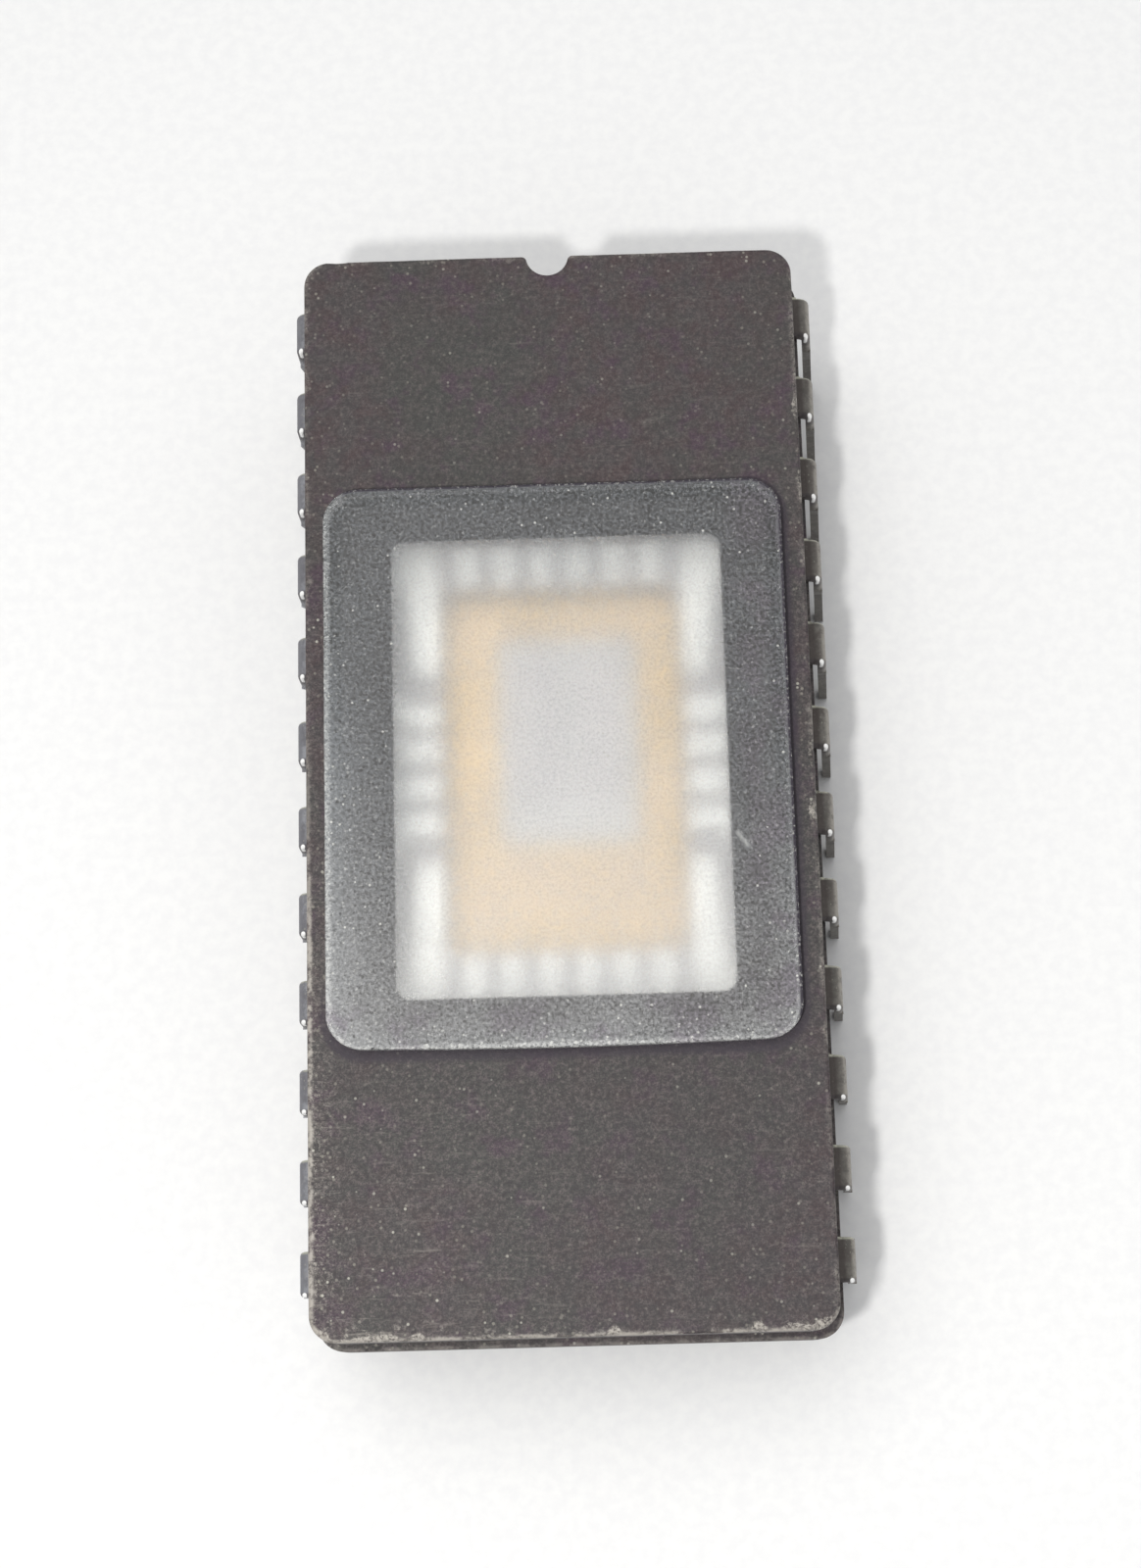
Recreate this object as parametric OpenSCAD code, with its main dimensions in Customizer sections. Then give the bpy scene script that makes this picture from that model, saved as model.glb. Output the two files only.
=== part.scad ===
// Ceramic dual in-line memory chip, 24 leads, with a frosted window over its die.
// Two pressed ceramic halves hold a stamped lead frame between them in sealing glass.
// X runs across the two rows of leads, +Y points to the notched end, +Z is up.
// The leads stand on z = 0, and the lead pattern is centred on the Z axis.

/* [Ceramic cap] */
// From a row's centreline in to the side of the cap
side_margin = 0.455; // [0.3:0.005:0.7]
// From the last lead's shoulder out to the end of the cap
end_margin = 1.005; // [0.6:0.005:1.5]
// Thickness of the cap
cap_t = 1.88; // [1.4:0.02:2.4]
// How far the cap was set off to the right of the lead pattern
cap_off_x = -0.1; // [-0.15:0.01:0.15]
// How far the cap was set off towards the notched end
cap_off_y = -0.305; // [-0.4:0.005:0.3]
// Corner radius of the cap and the base, seen from above
corner_r = 0.75; // [0.3:0.05:1.2]
// Worn bevel round the outer faces of the cap and the base
edge_bevel = 0.12; // [0.05:0.01:0.25]
// Radius of the notch that marks the first lead's end
notch_r = 0.62; // [0.4:0.01:0.9]
// Radius of the two small rounds at the notch's mouth
notch_lip_r = 0.15; // [0.08:0.01:0.25]
// Depth of the notch from the cap's end
notch_depth = 0.6; // [0.45:0.01:0.9]

/* [Window] */
// How far the opening's sides lie outside the cavity's sides
opening_side_reach = 1.25; // [0.8:0.05:1.5]
// How far the opening's ends lie outside the cavity's ends
opening_end_reach = 1.2; // [0.8:0.05:1.6]
// Corner radius of the opening
opening_r = 0.4; // [0.2:0.05:0.8]
// Place of the opening to the right of the cap's middle
opening_off_x = 0.03; // [-0.1:0.01:0.1]
// Place of the opening along the cap, from the cap's middle
opening_off_y = 0.2; // [-0.3:0.05:0.4]
// How far the recess under the cap, which clears the wires, reaches past the opening
recess_reach = 0.8; // [0.5:0.05:0.9]
// Depth of the recess from the cap's underside
recess_depth = 1.2; // [0.8:0.05:1.2]
// How far the frosted pane laps over the cap at the opening's sides
pane_side_lap = 1.85; // [1.4:0.05:2]
// How far the frosted pane laps over the cap at the opening's ends
pane_end_lap = 1.5; // [1:0.05:2.2]
// How far the pane was set off to the right of the opening
pane_off_x = -0.08; // [-0.15:0.01:0.1]
// How far the pane was set off from the opening towards the notched end
pane_off_y = 0.05; // [-0.2:0.01:0.2]
// Thickness of the frosted pane
pane_t = 0.45; // [0.3:0.05:0.8]
// Corner radius of the frosted pane
pane_r = 1; // [0.5:0.05:1.4]
// Ground bevel round the pane's upper edge
pane_bevel = 0.06; // [0.03:0.01:0.12]
// Thickness of the sealing glass under the pane
pane_seal_t = 0.05; // [0.03:0.01:0.1]
// How far the pane's sealing glass stops short of the pane's edge
pane_seal_inset = 0.15; // [0.05:0.05:0.3]

/* [Ceramic base] */
// How much wider the base is than the cap
base_extra_w = 0.27; // [0:0.01:0.3]
// How much longer the base is than the cap
base_extra_l = 0.3; // [0:0.01:0.5]
// Thickness of the base
base_t = 1.9; // [1.5:0.02:2.4]
// How far the base was set off to the right of the lead pattern
base_off_x = 0.05; // [-0.05:0.01:0.08]
// How far the base was set off towards the notched end
base_off_y = -0.355; // [-0.4:0.005:0.3]
// Width of the cavity for the die
cavity_w = 6.9; // [6.4:0.1:7]
// Length of the cavity for the die
cavity_l = 10.8; // [10.2:0.1:11]
// Depth of the cavity
cavity_depth = 0.6; // [0.5:0.05:0.9]
// Corner radius of the cavity
cavity_r = 0.3; // [0.1:0.05:0.6]
// Place of the cavity and the finger tips along the lead pattern
inner_off_y = 0.255; // [-0.2:0.005:0.5]

/* [Sealing glass] */
// Glass between the base and the leads
glass_below = 0.12; // [0.08:0.01:0.2]
// Glass between the leads and the cap
glass_above = 0.12; // [0.08:0.01:0.2]
// How far the glass stays back from the outline of the cap
glass_inset = 0.12; // [0.08:0.01:0.3]
// How far the glass stays back from the edge of the recess under the cap
glass_recess_gap = 0.1; // [0.05:0.05:0.2]

/* [Leads] */
// Leads in each row
row_leads = 12; // [12]
// Pitch of the leads along a row
pitch = 2.54; // [2.5:0.01:2.6]
// Spacing of the two rows, centre to centre
row_spacing = 15.24; // [15.1:0.02:15.5]
// Thickness of the lead frame
lead_t = 0.25; // [0.2:0.01:0.3]
// Width of a lead at its shoulder
shoulder_w = 1.25; // [1.1:0.05:1.65]
// Width of the leg that goes through the board
leg_w = 0.46; // [0.38:0.02:0.58]
// Width of the leg's tip
tip_w = 0.26; // [0.2:0.02:0.36]
// Length of the taper at the leg's tip
tip_taper = 0.45; // [0.2:0.05:0.8]
// Inner radius of the bend at the shoulder
bend_r = 0.15; // [0.1:0.01:0.2]
// Rolled edge that the stamping left on the shoulder's outer side
roll_r = 0.12; // [0.04:0.01:0.12]
// Drop from the shoulder's top to where the leg starts to narrow
wide_drop = 1.3; // [1.1:0.05:1.8]
// Height of the base's underside over the seating plane
standoff = 0.63; // [0.4:0.01:1.2]
// Length of the leg below the seating plane
leg_length = 3.3; // [3.1:0.05:5]
// Lean of the left row's legs away from the body, in degrees
lean_left = 0; // [0:0.5:6]
// Lean of the right row's legs away from the body, in degrees
lean_right = 5; // [0:0.5:8]

/* [Fingers] */
// Width of a finger at its tip
finger_tip_w = 0.55; // [0.4:0.05:0.65]
// Width of an end finger where it stops slanting
end_finger_w = 0.77; // [0.6:0.01:0.85]
// Width of a side finger where it stops slanting
side_finger_w = 0.6; // [0.5:0.01:0.75]
// Straight run at the tip of a side finger
side_finger_run = 1; // [0.8:0.05:1.2]
// Spacing of the finger tips round the cavity
finger_pitch = 1.07; // [1:0.01:1.15]
// Gap from the cavity's edge to the finger tips
finger_gap = 0.1; // [0.05:0.05:0.2]
// Width of the corner fingers where they turn
corner_bar_w = 1; // [0.8:0.05:1.2]
// Width of the corner fingers at their tips
corner_tip_w = 0.66; // [0.5:0.02:0.8]
// How far the corner fingers' tips lie from the cavity's end, along its length
corner_tip_back = 2.65; // [2.4:0.05:2.8]
// Where the first end finger starts to slant, from the line of the side fingers' tips
fan_start = 1.05; // [0.7:0.05:1.25]
// How much later the next end finger starts to slant
fan_step_x = 0.5; // [0.3:0.05:0.6]
// Straight run at the tip of the first end finger
fan_run = 4; // [3.5:0.1:4.5]
// How much sooner the next end finger stops slanting
fan_step_y = 1.1; // [0.9:0.05:1.2]

/* [Die and wires] */
// Width of the silicon die
die_w = 4.03; // [3:0.01:4.4]
// Length of the silicon die
die_l = 6.12; // [4.6:0.01:6.6]
// Thickness of the silicon die
die_t = 0.4; // [0.3:0.02:0.5]
// Place of the die to the right of the cavity's middle
die_off_x = 0.12; // [-0.4:0.01:0.4]
// Place of the die along the cavity, from the cavity's middle
die_off_y = 0.88; // [-1:0.01:1.2]
// Thickness of the gold pad fired on the cavity's floor
pad_t = 0.03; // [0.02:0.01:0.05]
// Gap between the gold pad and the cavity's walls
pad_gap = 0.08; // [0.03:0.01:0.2]
// Thickness of the layer that holds the die on the pad
attach_t = 0.03; // [0.02:0.01:0.06]
// How far that layer spreads past the die
attach_spread = 0.15; // [0.05:0.05:0.3]
// Diameter of a bond wire
wire_d = 0.04; // [0.03:0.005:0.06]
// Rise of a bond wire over the line between its ends
wire_loop = 0.3; // [0.15:0.05:0.5]
// Length of the flat foot at each end of a bond wire
wire_foot = 0.12; // [0.08:0.01:0.2]
// How far the wires' feet lie inside the die's edge
bond_inset = 0.16; // [0.1:0.02:0.3]

/* [Hidden] */
pins = 2 * row_leads;

cap_w = row_spacing - 2 * side_margin;
cap_l = (row_leads - 1) * pitch + shoulder_w + 2 * end_margin;
base_w = cap_w + base_extra_w;
base_l = cap_l + base_extra_l;
opening_w = cavity_w + 2 * opening_side_reach;
opening_l = cavity_l + 2 * opening_end_reach;
pane_w = opening_w + 2 * pane_side_lap;
pane_l = opening_l + 2 * pane_end_lap;
opening_x = cap_off_x + opening_off_x;
opening_y = cap_off_y + opening_off_y;
recess_w = opening_w + 2 * recess_reach;
recess_l = opening_l + 2 * recess_reach;
recess_r = opening_r + recess_reach;
pane_x = opening_x + pane_off_x;
pane_y = opening_y + pane_off_y;
glass_x = (cap_off_x + base_off_x) / 2;
glass_y = (cap_off_y + base_off_y) / 2;
seat_z = leg_length;
base_z = seat_z + standoff;
base_top = base_z + base_t;
lead_bottom = base_top + glass_below;
lead_mid = lead_bottom + lead_t / 2;
lead_top = lead_bottom + lead_t;
cap_z = lead_top + glass_above;
cap_top = cap_z + cap_t;
pane_z = cap_top + pane_seal_t;
cavity_floor = base_top - cavity_depth;
die_z = cavity_floor + pad_t + attach_t;
die_top = die_z + die_t;
die_y = inner_off_y + die_off_y;
bend_outer = bend_r + lead_t;
bend_x = row_spacing / 2 + lead_t / 2 - bend_outer;
axis_z = lead_top - bend_outer;
tip_line_x = cavity_w / 2 + finger_gap;
tip_line_y = cavity_l / 2 + finger_gap;
end_fingers = 3;
half_row = row_leads / 2;
cut = 1;
roll_steps = 3;
wire_sides = 8;
arch_steps = 8;

// Two digits, so that the names sort as the leads are counted
function two(n) = n < 10 ? str("0", n) : str(n);
function lead_name(pin) = str("lead_", two(pin));
function wire_name(pin) = str("bond_wire_", two(pin));

// Lead 1 is at the notched end of the left row, and the count runs on up the right row
function side_of(pin) = pin <= row_leads ? -1 : 1;
function row_of(pin) = pin <= row_leads ? pin - 1 : pins - pin;
function row_y(row) = ((row_leads - 1) / 2 - row) * pitch;
function end_of(row) = row < half_row ? 1 : -1;
// Place of a lead counted from its own end: 0 is next to the end, 5 is nearest the middle
function rank_of(row) = row < half_row ? row : row_leads - 1 - row;

// A plate with round corners, centred on the origin
module plate(w, l, r, t) {
    linear_extrude(t) {
        square([w, l - 2 * r], center = true);
        square([w - 2 * r, l], center = true);
        for (x = [-1, 1], y = [-1, 1])
            translate([x * (w / 2 - r), y * (l / 2 - r)])
                circle(r, $fn = 32);
    }
}

// A plate whose upper edge is bevelled all round: two crossed bars and a turned piece at each corner
function corner_profile(r, t, bevel) = [[0, 0], [r, 0], [r, t - bevel], [r - bevel, t], [0, t]];
function bar_profile(w, t, bevel) =
    [[-w / 2, 0], [w / 2, 0], [w / 2, t - bevel],
     [w / 2 - bevel, t], [bevel - w / 2, t], [-w / 2, t - bevel]];
module bevelled_plate(w, l, r, t, bevel) {
    translate([0, l / 2 - r, 0])
        rotate([90, 0, 0])
            linear_extrude(l - 2 * r)
                polygon(bar_profile(w, t, bevel));
    translate([r - w / 2, 0, 0])
        rotate([90, 0, 90])
            linear_extrude(w - 2 * r)
                polygon(bar_profile(l, t, bevel));
    for (x = [-1, 1], y = [-1, 1])
        translate([x * (w / 2 - r), y * (l / 2 - r), 0])
            rotate([0, 0, atan2(y, x) - 45])
                rotate_extrude(angle = 90, $fn = 32)
                    polygon(corner_profile(r, t, bevel));
}

// The notch at the marked end, with its mouth's corners rounded, cut through a height
module notch(from, to) {
    mouth_y = cap_off_y + cap_l / 2;
    centre_y = mouth_y - notch_depth + notch_r;
    drop = centre_y - mouth_y + notch_lip_r;
    lip_x = sqrt(pow(notch_r + notch_lip_r, 2) - pow(drop, 2));
    contact_x = lip_x * notch_r / (notch_r + notch_lip_r);
    contact_y = centre_y - drop * notch_r / (notch_r + notch_lip_r);
    room = abs(base_off_y - cap_off_y) + base_extra_l / 2 + cut;
    translate([cap_off_x, 0, from])
        linear_extrude(to - from) {
            translate([0, centre_y])
                circle(notch_r, $fn = 48);
            translate([-contact_x, contact_y])
                square([2 * contact_x, mouth_y - contact_y + room]);
            difference() {
                translate([-lip_x, contact_y])
                    square([2 * lip_x, mouth_y - contact_y]);
                for (side = [-1, 1])
                    translate([side * lip_x, mouth_y - notch_lip_r])
                        circle(notch_lip_r, $fn = 32);
            }
            translate([-lip_x, mouth_y])
                square([2 * lip_x, room]);
        }
}

// A strip that follows the points of a path, with its own width at each point
function unit(v) = v / norm(v);
function across(v) = [-v[1], v[0]];
function leg_dir(path, i) = unit(path[i + 1] - path[i]);
function mitre(path, i) =
    let (last = len(path) - 1)
    i == 0 ? across(leg_dir(path, 0)) :
    i == last ? across(leg_dir(path, last - 1)) :
    let (a = across(leg_dir(path, i - 1)), m = unit(a + across(leg_dir(path, i)))) m / (m * a);
function strip(path, widths) =
    concat([for (i = [0:len(path) - 1]) path[i] + mitre(path, i) * widths[i] / 2],
           [for (i = [len(path) - 1:-1:0]) path[i] - mitre(path, i) * widths[i] / 2]);

// Paths of the fingers for the right row, from the shoulder in to the cavity's edge.
// The three leads nearest each end fan in to the cavity's end.
// The fourth turns along the cavity's corner, and the two nearest the middle go to its side.
function end_path(y, end, rank) =
    let (tip_x = (rank + 0.5) * finger_pitch, bend_y = tip_line_y + fan_run - rank * fan_step_y)
    [[bend_x, y], [tip_line_x + fan_start + rank * fan_step_x, y],
     [tip_x, inner_off_y + end * bend_y], [tip_x, inner_off_y + end * tip_line_y]];
function corner_path(y, end) =
    [[bend_x, y], [tip_line_x + 1.5 * corner_bar_w, y], [tip_line_x + corner_bar_w / 2, y],
     [tip_line_x + corner_tip_w / 2, inner_off_y + end * (cavity_l / 2 - corner_tip_back)]];
function side_path(y, end, rank) =
    let (tip_y = inner_off_y + end * (half_row - rank - 0.5) * finger_pitch)
    [[bend_x, y], [bend_x - pitch / 3, y], [tip_line_x + side_finger_run, tip_y], [tip_line_x, tip_y]];
function finger_path(y, end, rank) =
    rank < end_fingers ? end_path(y, end, rank) :
    rank == end_fingers ? corner_path(y, end) : side_path(y, end, rank);
function finger_widths(rank) =
    rank < end_fingers ? [shoulder_w, shoulder_w, end_finger_w, finger_tip_w] :
    rank == end_fingers ? [shoulder_w, shoulder_w, corner_bar_w, corner_tip_w] :
    [shoulder_w, shoulder_w, side_finger_w, finger_tip_w];
function mirrored(path, side) = [for (p = path) [side * p[0], p[1]]];
function pin_path(pin) =
    let (row = row_of(pin))
    mirrored(finger_path(row_y(row), end_of(row), rank_of(row)), side_of(pin));

module finger(pin) {
    translate([0, 0, lead_bottom])
        linear_extrude(lead_t)
            polygon(strip(pin_path(pin), finger_widths(rank_of(row_of(pin)))));
}

// Section of the formed lead, with the stamping's rolled edges on its outer side.
// Its first coordinate is the distance from the bend's axis, its second runs along the row.
function rolled_edge(y, from) =
    [for (i = [0:roll_steps])
         let (a = from + 90 * i / roll_steps)
         [bend_outer - roll_r + roll_r * cos(a), y + roll_r * sin(a)]];
function lead_section() =
    concat([[bend_r, -shoulder_w / 2]],
           rolled_edge(roll_r - shoulder_w / 2, 270),
           rolled_edge(shoulder_w / 2 - roll_r, 0),
           [[bend_r, shoulder_w / 2]]);

// The flat outline of the leg, from the end of its full width down to its tip
function leg_outline(full, narrow, length) =
    [[-shoulder_w / 2, -full], [shoulder_w / 2, -full], [leg_w / 2, -narrow],
     [leg_w / 2, tip_taper - length], [tip_w / 2, -length], [-tip_w / 2, -length],
     [-leg_w / 2, tip_taper - length], [-leg_w / 2, -narrow]];

// The bend and the leg of the right row, drawn round the bend's axis
module formed_leg(lean) {
    length = (axis_z + bend_r * sin(lean)) / cos(lean);
    full = wide_drop - bend_outer;
    narrow = (axis_z - seat_z) / cos(lean);
    rotate([90, 0, 0])
        rotate([0, 0, lean])
            rotate_extrude(angle = 90 - lean, $fn = 96)
                polygon(lead_section());
    rotate([0, -lean, 0]) {
        mirror([0, 0, 1])
            linear_extrude(full)
                polygon(lead_section());
        translate([bend_outer, 0, 0])
            rotate([90, 0, -90])
                linear_extrude(lead_t)
                    polygon(leg_outline(full, narrow, length));
    }
}

module lead(pin) {
    side = side_of(pin);
    color(side < 0 ? "#8f9087" : "#8a8b82")
        union() {
            finger(pin);
            translate([side * bend_x, row_y(row_of(pin)), axis_z])
                mirror([side < 0 ? 1 : 0, 0, 0])
                    formed_leg(side < 0 ? lean_left : lean_right);
        }
}

module ceramic_base() {
    color("#5d5557")
        difference() {
            translate([base_off_x, base_off_y, base_top])
                mirror([0, 0, 1])
                    bevelled_plate(base_w, base_l, corner_r, base_t, edge_bevel);
            translate([0, inner_off_y, cavity_floor])
                plate(cavity_w, cavity_l, cavity_r, cavity_depth + cut);
            notch(base_z - cut, base_top + cut);
        }
}

module gold_pad() {
    color("#d9b478")
        translate([0, inner_off_y, cavity_floor])
            plate(cavity_w - 2 * pad_gap, cavity_l - 2 * pad_gap, cavity_r, pad_t);
}

module die_attach() {
    color("#c9b58c")
        translate([die_off_x, die_y, cavity_floor + pad_t])
            plate(die_w + 2 * attach_spread, die_l + 2 * attach_spread, attach_spread, attach_t);
}

module silicon_die() {
    color("#b9b4bb")
        translate([die_off_x - die_w / 2, die_y - die_l / 2, die_z])
            cube([die_w, die_l, die_t]);
}

// The glass fills the space round the fingers, and leaves their tips bare under the window
module seal_glass() {
    color("#6d666c")
        difference() {
            union() {
                translate([glass_x, glass_y, base_top])
                    plate(cap_w - 2 * glass_inset, cap_l - 2 * glass_inset, corner_r, lead_mid - base_top);
                difference() {
                    translate([glass_x, glass_y, lead_mid])
                        plate(cap_w - 2 * glass_inset, cap_l - 2 * glass_inset, corner_r, cap_z - lead_mid);
                    translate([opening_x, opening_y, lead_mid])
                        plate(recess_w + 2 * glass_recess_gap, recess_l + 2 * glass_recess_gap,
                              recess_r + glass_recess_gap, cap_z);
                }
            }
            translate([0, inner_off_y, base_top - cut])
                plate(cavity_w, cavity_l, cavity_r, lead_t + 2 * cut);
            notch(base_top - cut, cap_z + cut);
            for (pin = [1:pins])
                finger(pin);
        }
}

module ceramic_cap() {
    color("#645c5f")
        difference() {
            translate([cap_off_x, cap_off_y, cap_z])
                bevelled_plate(cap_w, cap_l, corner_r, cap_t, edge_bevel);
            translate([opening_x, opening_y, cap_z - cut])
                plate(opening_w, opening_l, opening_r, cap_t + 2 * cut);
            translate([opening_x, opening_y, cap_z - cut])
                plate(recess_w, recess_l, recess_r, recess_depth + cut);
            notch(cap_z - cut, cap_top + cut);
        }
}

module window_seal() {
    color("#4a4448")
        difference() {
            translate([pane_x, pane_y, cap_top])
                plate(pane_w - 2 * pane_seal_inset, pane_l - 2 * pane_seal_inset, pane_r, pane_seal_t);
            translate([opening_x, opening_y, cap_top - cut])
                plate(opening_w, opening_l, opening_r, pane_seal_t + 2 * cut);
        }
}

module window_pane() {
    color([0.72, 0.74, 0.74, 0.75])
        translate([pane_x, pane_y, pane_z])
            bevelled_plate(pane_w, pane_l, pane_r, pane_t, pane_bevel);
}

// A round wire through the points of a path, with flat facets above and below.
// Each ring stands square to the mean of the directions before and after it.
function tangent(path, i) =
    let (last = len(path) - 1)
    unit(i == 0 ? path[1] - path[0] :
         i == last ? path[last] - path[last - 1] :
         unit(path[i + 1] - path[i]) + unit(path[i] - path[i - 1]));
module tube(path, r, sides) {
    flat = unit(across([for (k = [0, 1]) path[len(path) - 1][k] - path[0][k]]));
    side = [flat[0], flat[1], 0];
    rings = [for (i = [0:len(path) - 1])
                 let (up = cross(tangent(path, i), side))
                 [for (j = [0:sides - 1])
                      let (a = (j + 0.5) * 360 / sides)
                      path[i] + r * cos(a) * side + r * sin(a) * up]];
    points = [for (ring = rings) each ring];
    walls = [for (i = [0:len(path) - 2], j = [0:sides - 1])
                 let (k = (j + 1) % sides)
                 [i * sides + j, i * sides + k, (i + 1) * sides + k, (i + 1) * sides + j]];
    first = [for (j = [sides - 1:-1:0]) j];
    final = [for (j = [0:sides - 1]) (len(path) - 1) * sides + j];
    polyhedron(points, concat(walls, [first, final]));
}

// Where each wire is bonded on its finger, a little way back from the finger's tip
function on_finger(pin) =
    let (path = pin_path(pin), last = len(path) - 1, back = unit(path[last - 1] - path[last]))
    path[last] + (wire_foot + bond_inset) * back;

// Where each wire is bonded on the die: the end fingers go to the die's ends, the rest to its sides
function on_die(pin) =
    let (row = row_of(pin), rank = rank_of(row), end = end_of(row), side = side_of(pin),
         x = die_w / 2 - bond_inset, y = die_l / 2 - bond_inset, spread = end_fingers + 0.5)
    rank < end_fingers ? [die_off_x + side * x * (rank + 0.5) / spread, die_y + end * y]
                       : [die_off_x + side * x, die_y + end * y * (half_row - rank - 0.5) / spread];

module bond_wire(pin) {
    lift = wire_d / 2 * cos(180 / wire_sides);
    a = on_die(pin);
    b = on_finger(pin);
    way = unit(b - a);
    span = norm(b - a);
    rise = lead_top - die_top;
    arch = [for (i = [0:arch_steps])
                let (u = i / arch_steps, p = a + way * span * u)
                [p[0], p[1], die_top + lift + rise * u + 4 * wire_loop * u * (1 - u)]];
    foot_a = a - way * wire_foot;
    foot_b = b + way * wire_foot;
    color("#d8d8d4")
        tube(concat([[foot_a[0], foot_a[1], die_top + lift]], arch,
                    [[foot_b[0], foot_b[1], lead_top + lift]]),
             wire_d / 2, wire_sides);
}

ceramic_base();
gold_pad();
die_attach();
silicon_die();
seal_glass();
ceramic_cap();
window_seal();
window_pane();
for (pin = [1:pins])
    lead(pin);
for (pin = [1:pins])
    bond_wire(pin);
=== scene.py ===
"""Ceramic memory chip with a frosted window: finishes, worn cap and pane, floor, light and camera."""
import math

import bpy
import numpy as np
from mathutils import Matrix, Vector


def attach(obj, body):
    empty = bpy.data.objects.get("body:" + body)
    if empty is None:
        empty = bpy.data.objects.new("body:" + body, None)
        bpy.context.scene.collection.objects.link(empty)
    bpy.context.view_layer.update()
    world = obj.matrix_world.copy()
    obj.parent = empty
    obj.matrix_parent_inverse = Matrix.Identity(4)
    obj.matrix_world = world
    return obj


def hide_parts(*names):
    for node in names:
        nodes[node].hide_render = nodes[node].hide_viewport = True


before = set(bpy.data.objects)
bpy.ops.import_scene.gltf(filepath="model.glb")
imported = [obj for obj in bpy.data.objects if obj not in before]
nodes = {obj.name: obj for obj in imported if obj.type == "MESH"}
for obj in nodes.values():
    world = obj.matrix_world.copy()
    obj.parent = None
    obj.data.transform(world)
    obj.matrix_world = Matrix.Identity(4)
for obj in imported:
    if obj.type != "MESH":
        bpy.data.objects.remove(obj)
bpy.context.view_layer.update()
MM = 0.001

# Places, sizes, corner radii and heights in mm, as the solids have them
CAP_CENTRE, CAP_SIZE, CAP_CORNER = (-0.1, -0.305), (14.33, 31.2), 0.75
OPENING_CENTRE, OPENING_SIZE, OPENING_CORNER = (-0.07, -0.105), (9.4, 13.2), 0.4
RECESS_SIZE, RECESS_CORNER, RECESS_TOP = (11.0, 14.8), 1.2, 7.52
PANE_CENTRE, PANE_SIZE, PANE_CORNER = (-0.15, -0.055), (13.1, 16.2), 1.0
BASE_CENTRE, BASE_SIZE = (0.05, -0.355), (14.6, 31.5)
PAD_CENTRE, PAD_SIZE, PAD_CORNER = (0, 0.255), (6.74, 10.64), 0.3
DIE_CENTRE = (0.12, 1.135)
BASE_TOP, CAP_FOOT, CAP_TOP, PANE_FOOT, PANE_TOP = 5.83, 6.32, 8.2, 8.25, 8.7
NOTCH_R, LIP_R, NOTCH_DEPTH = 0.62, 0.15, 0.6
PITCH, SHOULDER = 2.54, 1.25
ROW_LEADS = 12


# Finishes

class Wire:
    """A shader socket that can stand in Python sums: each sum adds the Math node that it needs."""

    def __init__(self, finish, socket):
        self.finish, self.socket = finish, socket

    def math(self, operation, *values):
        return self.finish.node("Math", {"operation": operation}, dict(enumerate(values)))

    def __add__(self, other): return self.math("ADD", self, other)
    def __radd__(self, other): return self.math("ADD", other, self)
    def __sub__(self, other): return self.math("SUBTRACT", self, other)
    def __rsub__(self, other): return self.math("SUBTRACT", other, self)
    def __mul__(self, other): return self.math("MULTIPLY", self, other)
    def __rmul__(self, other): return self.math("MULTIPLY", other, self)
    def __truediv__(self, other): return self.math("DIVIDE", self, other)
    def __pow__(self, other): return self.math("POWER", self, other)
    def __abs__(self): return self.math("ABSOLUTE", self)
    def least(self, other): return self.math("MINIMUM", self, other)
    def most(self, other): return self.math("MAXIMUM", self, other)
    def fraction(self): return self.math("FRACT", self)

    def step(self, start, stop):
        """0 up to the start, 1 from the stop on and smooth between. With the stop below the start it falls
        from 1 at the stop to 0 at the start."""
        return self.finish.node("MapRange", {"interpolation_type": "SMOOTHSTEP"},
                                {"Value": self, "From Min": start, "From Max": stop})


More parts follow.
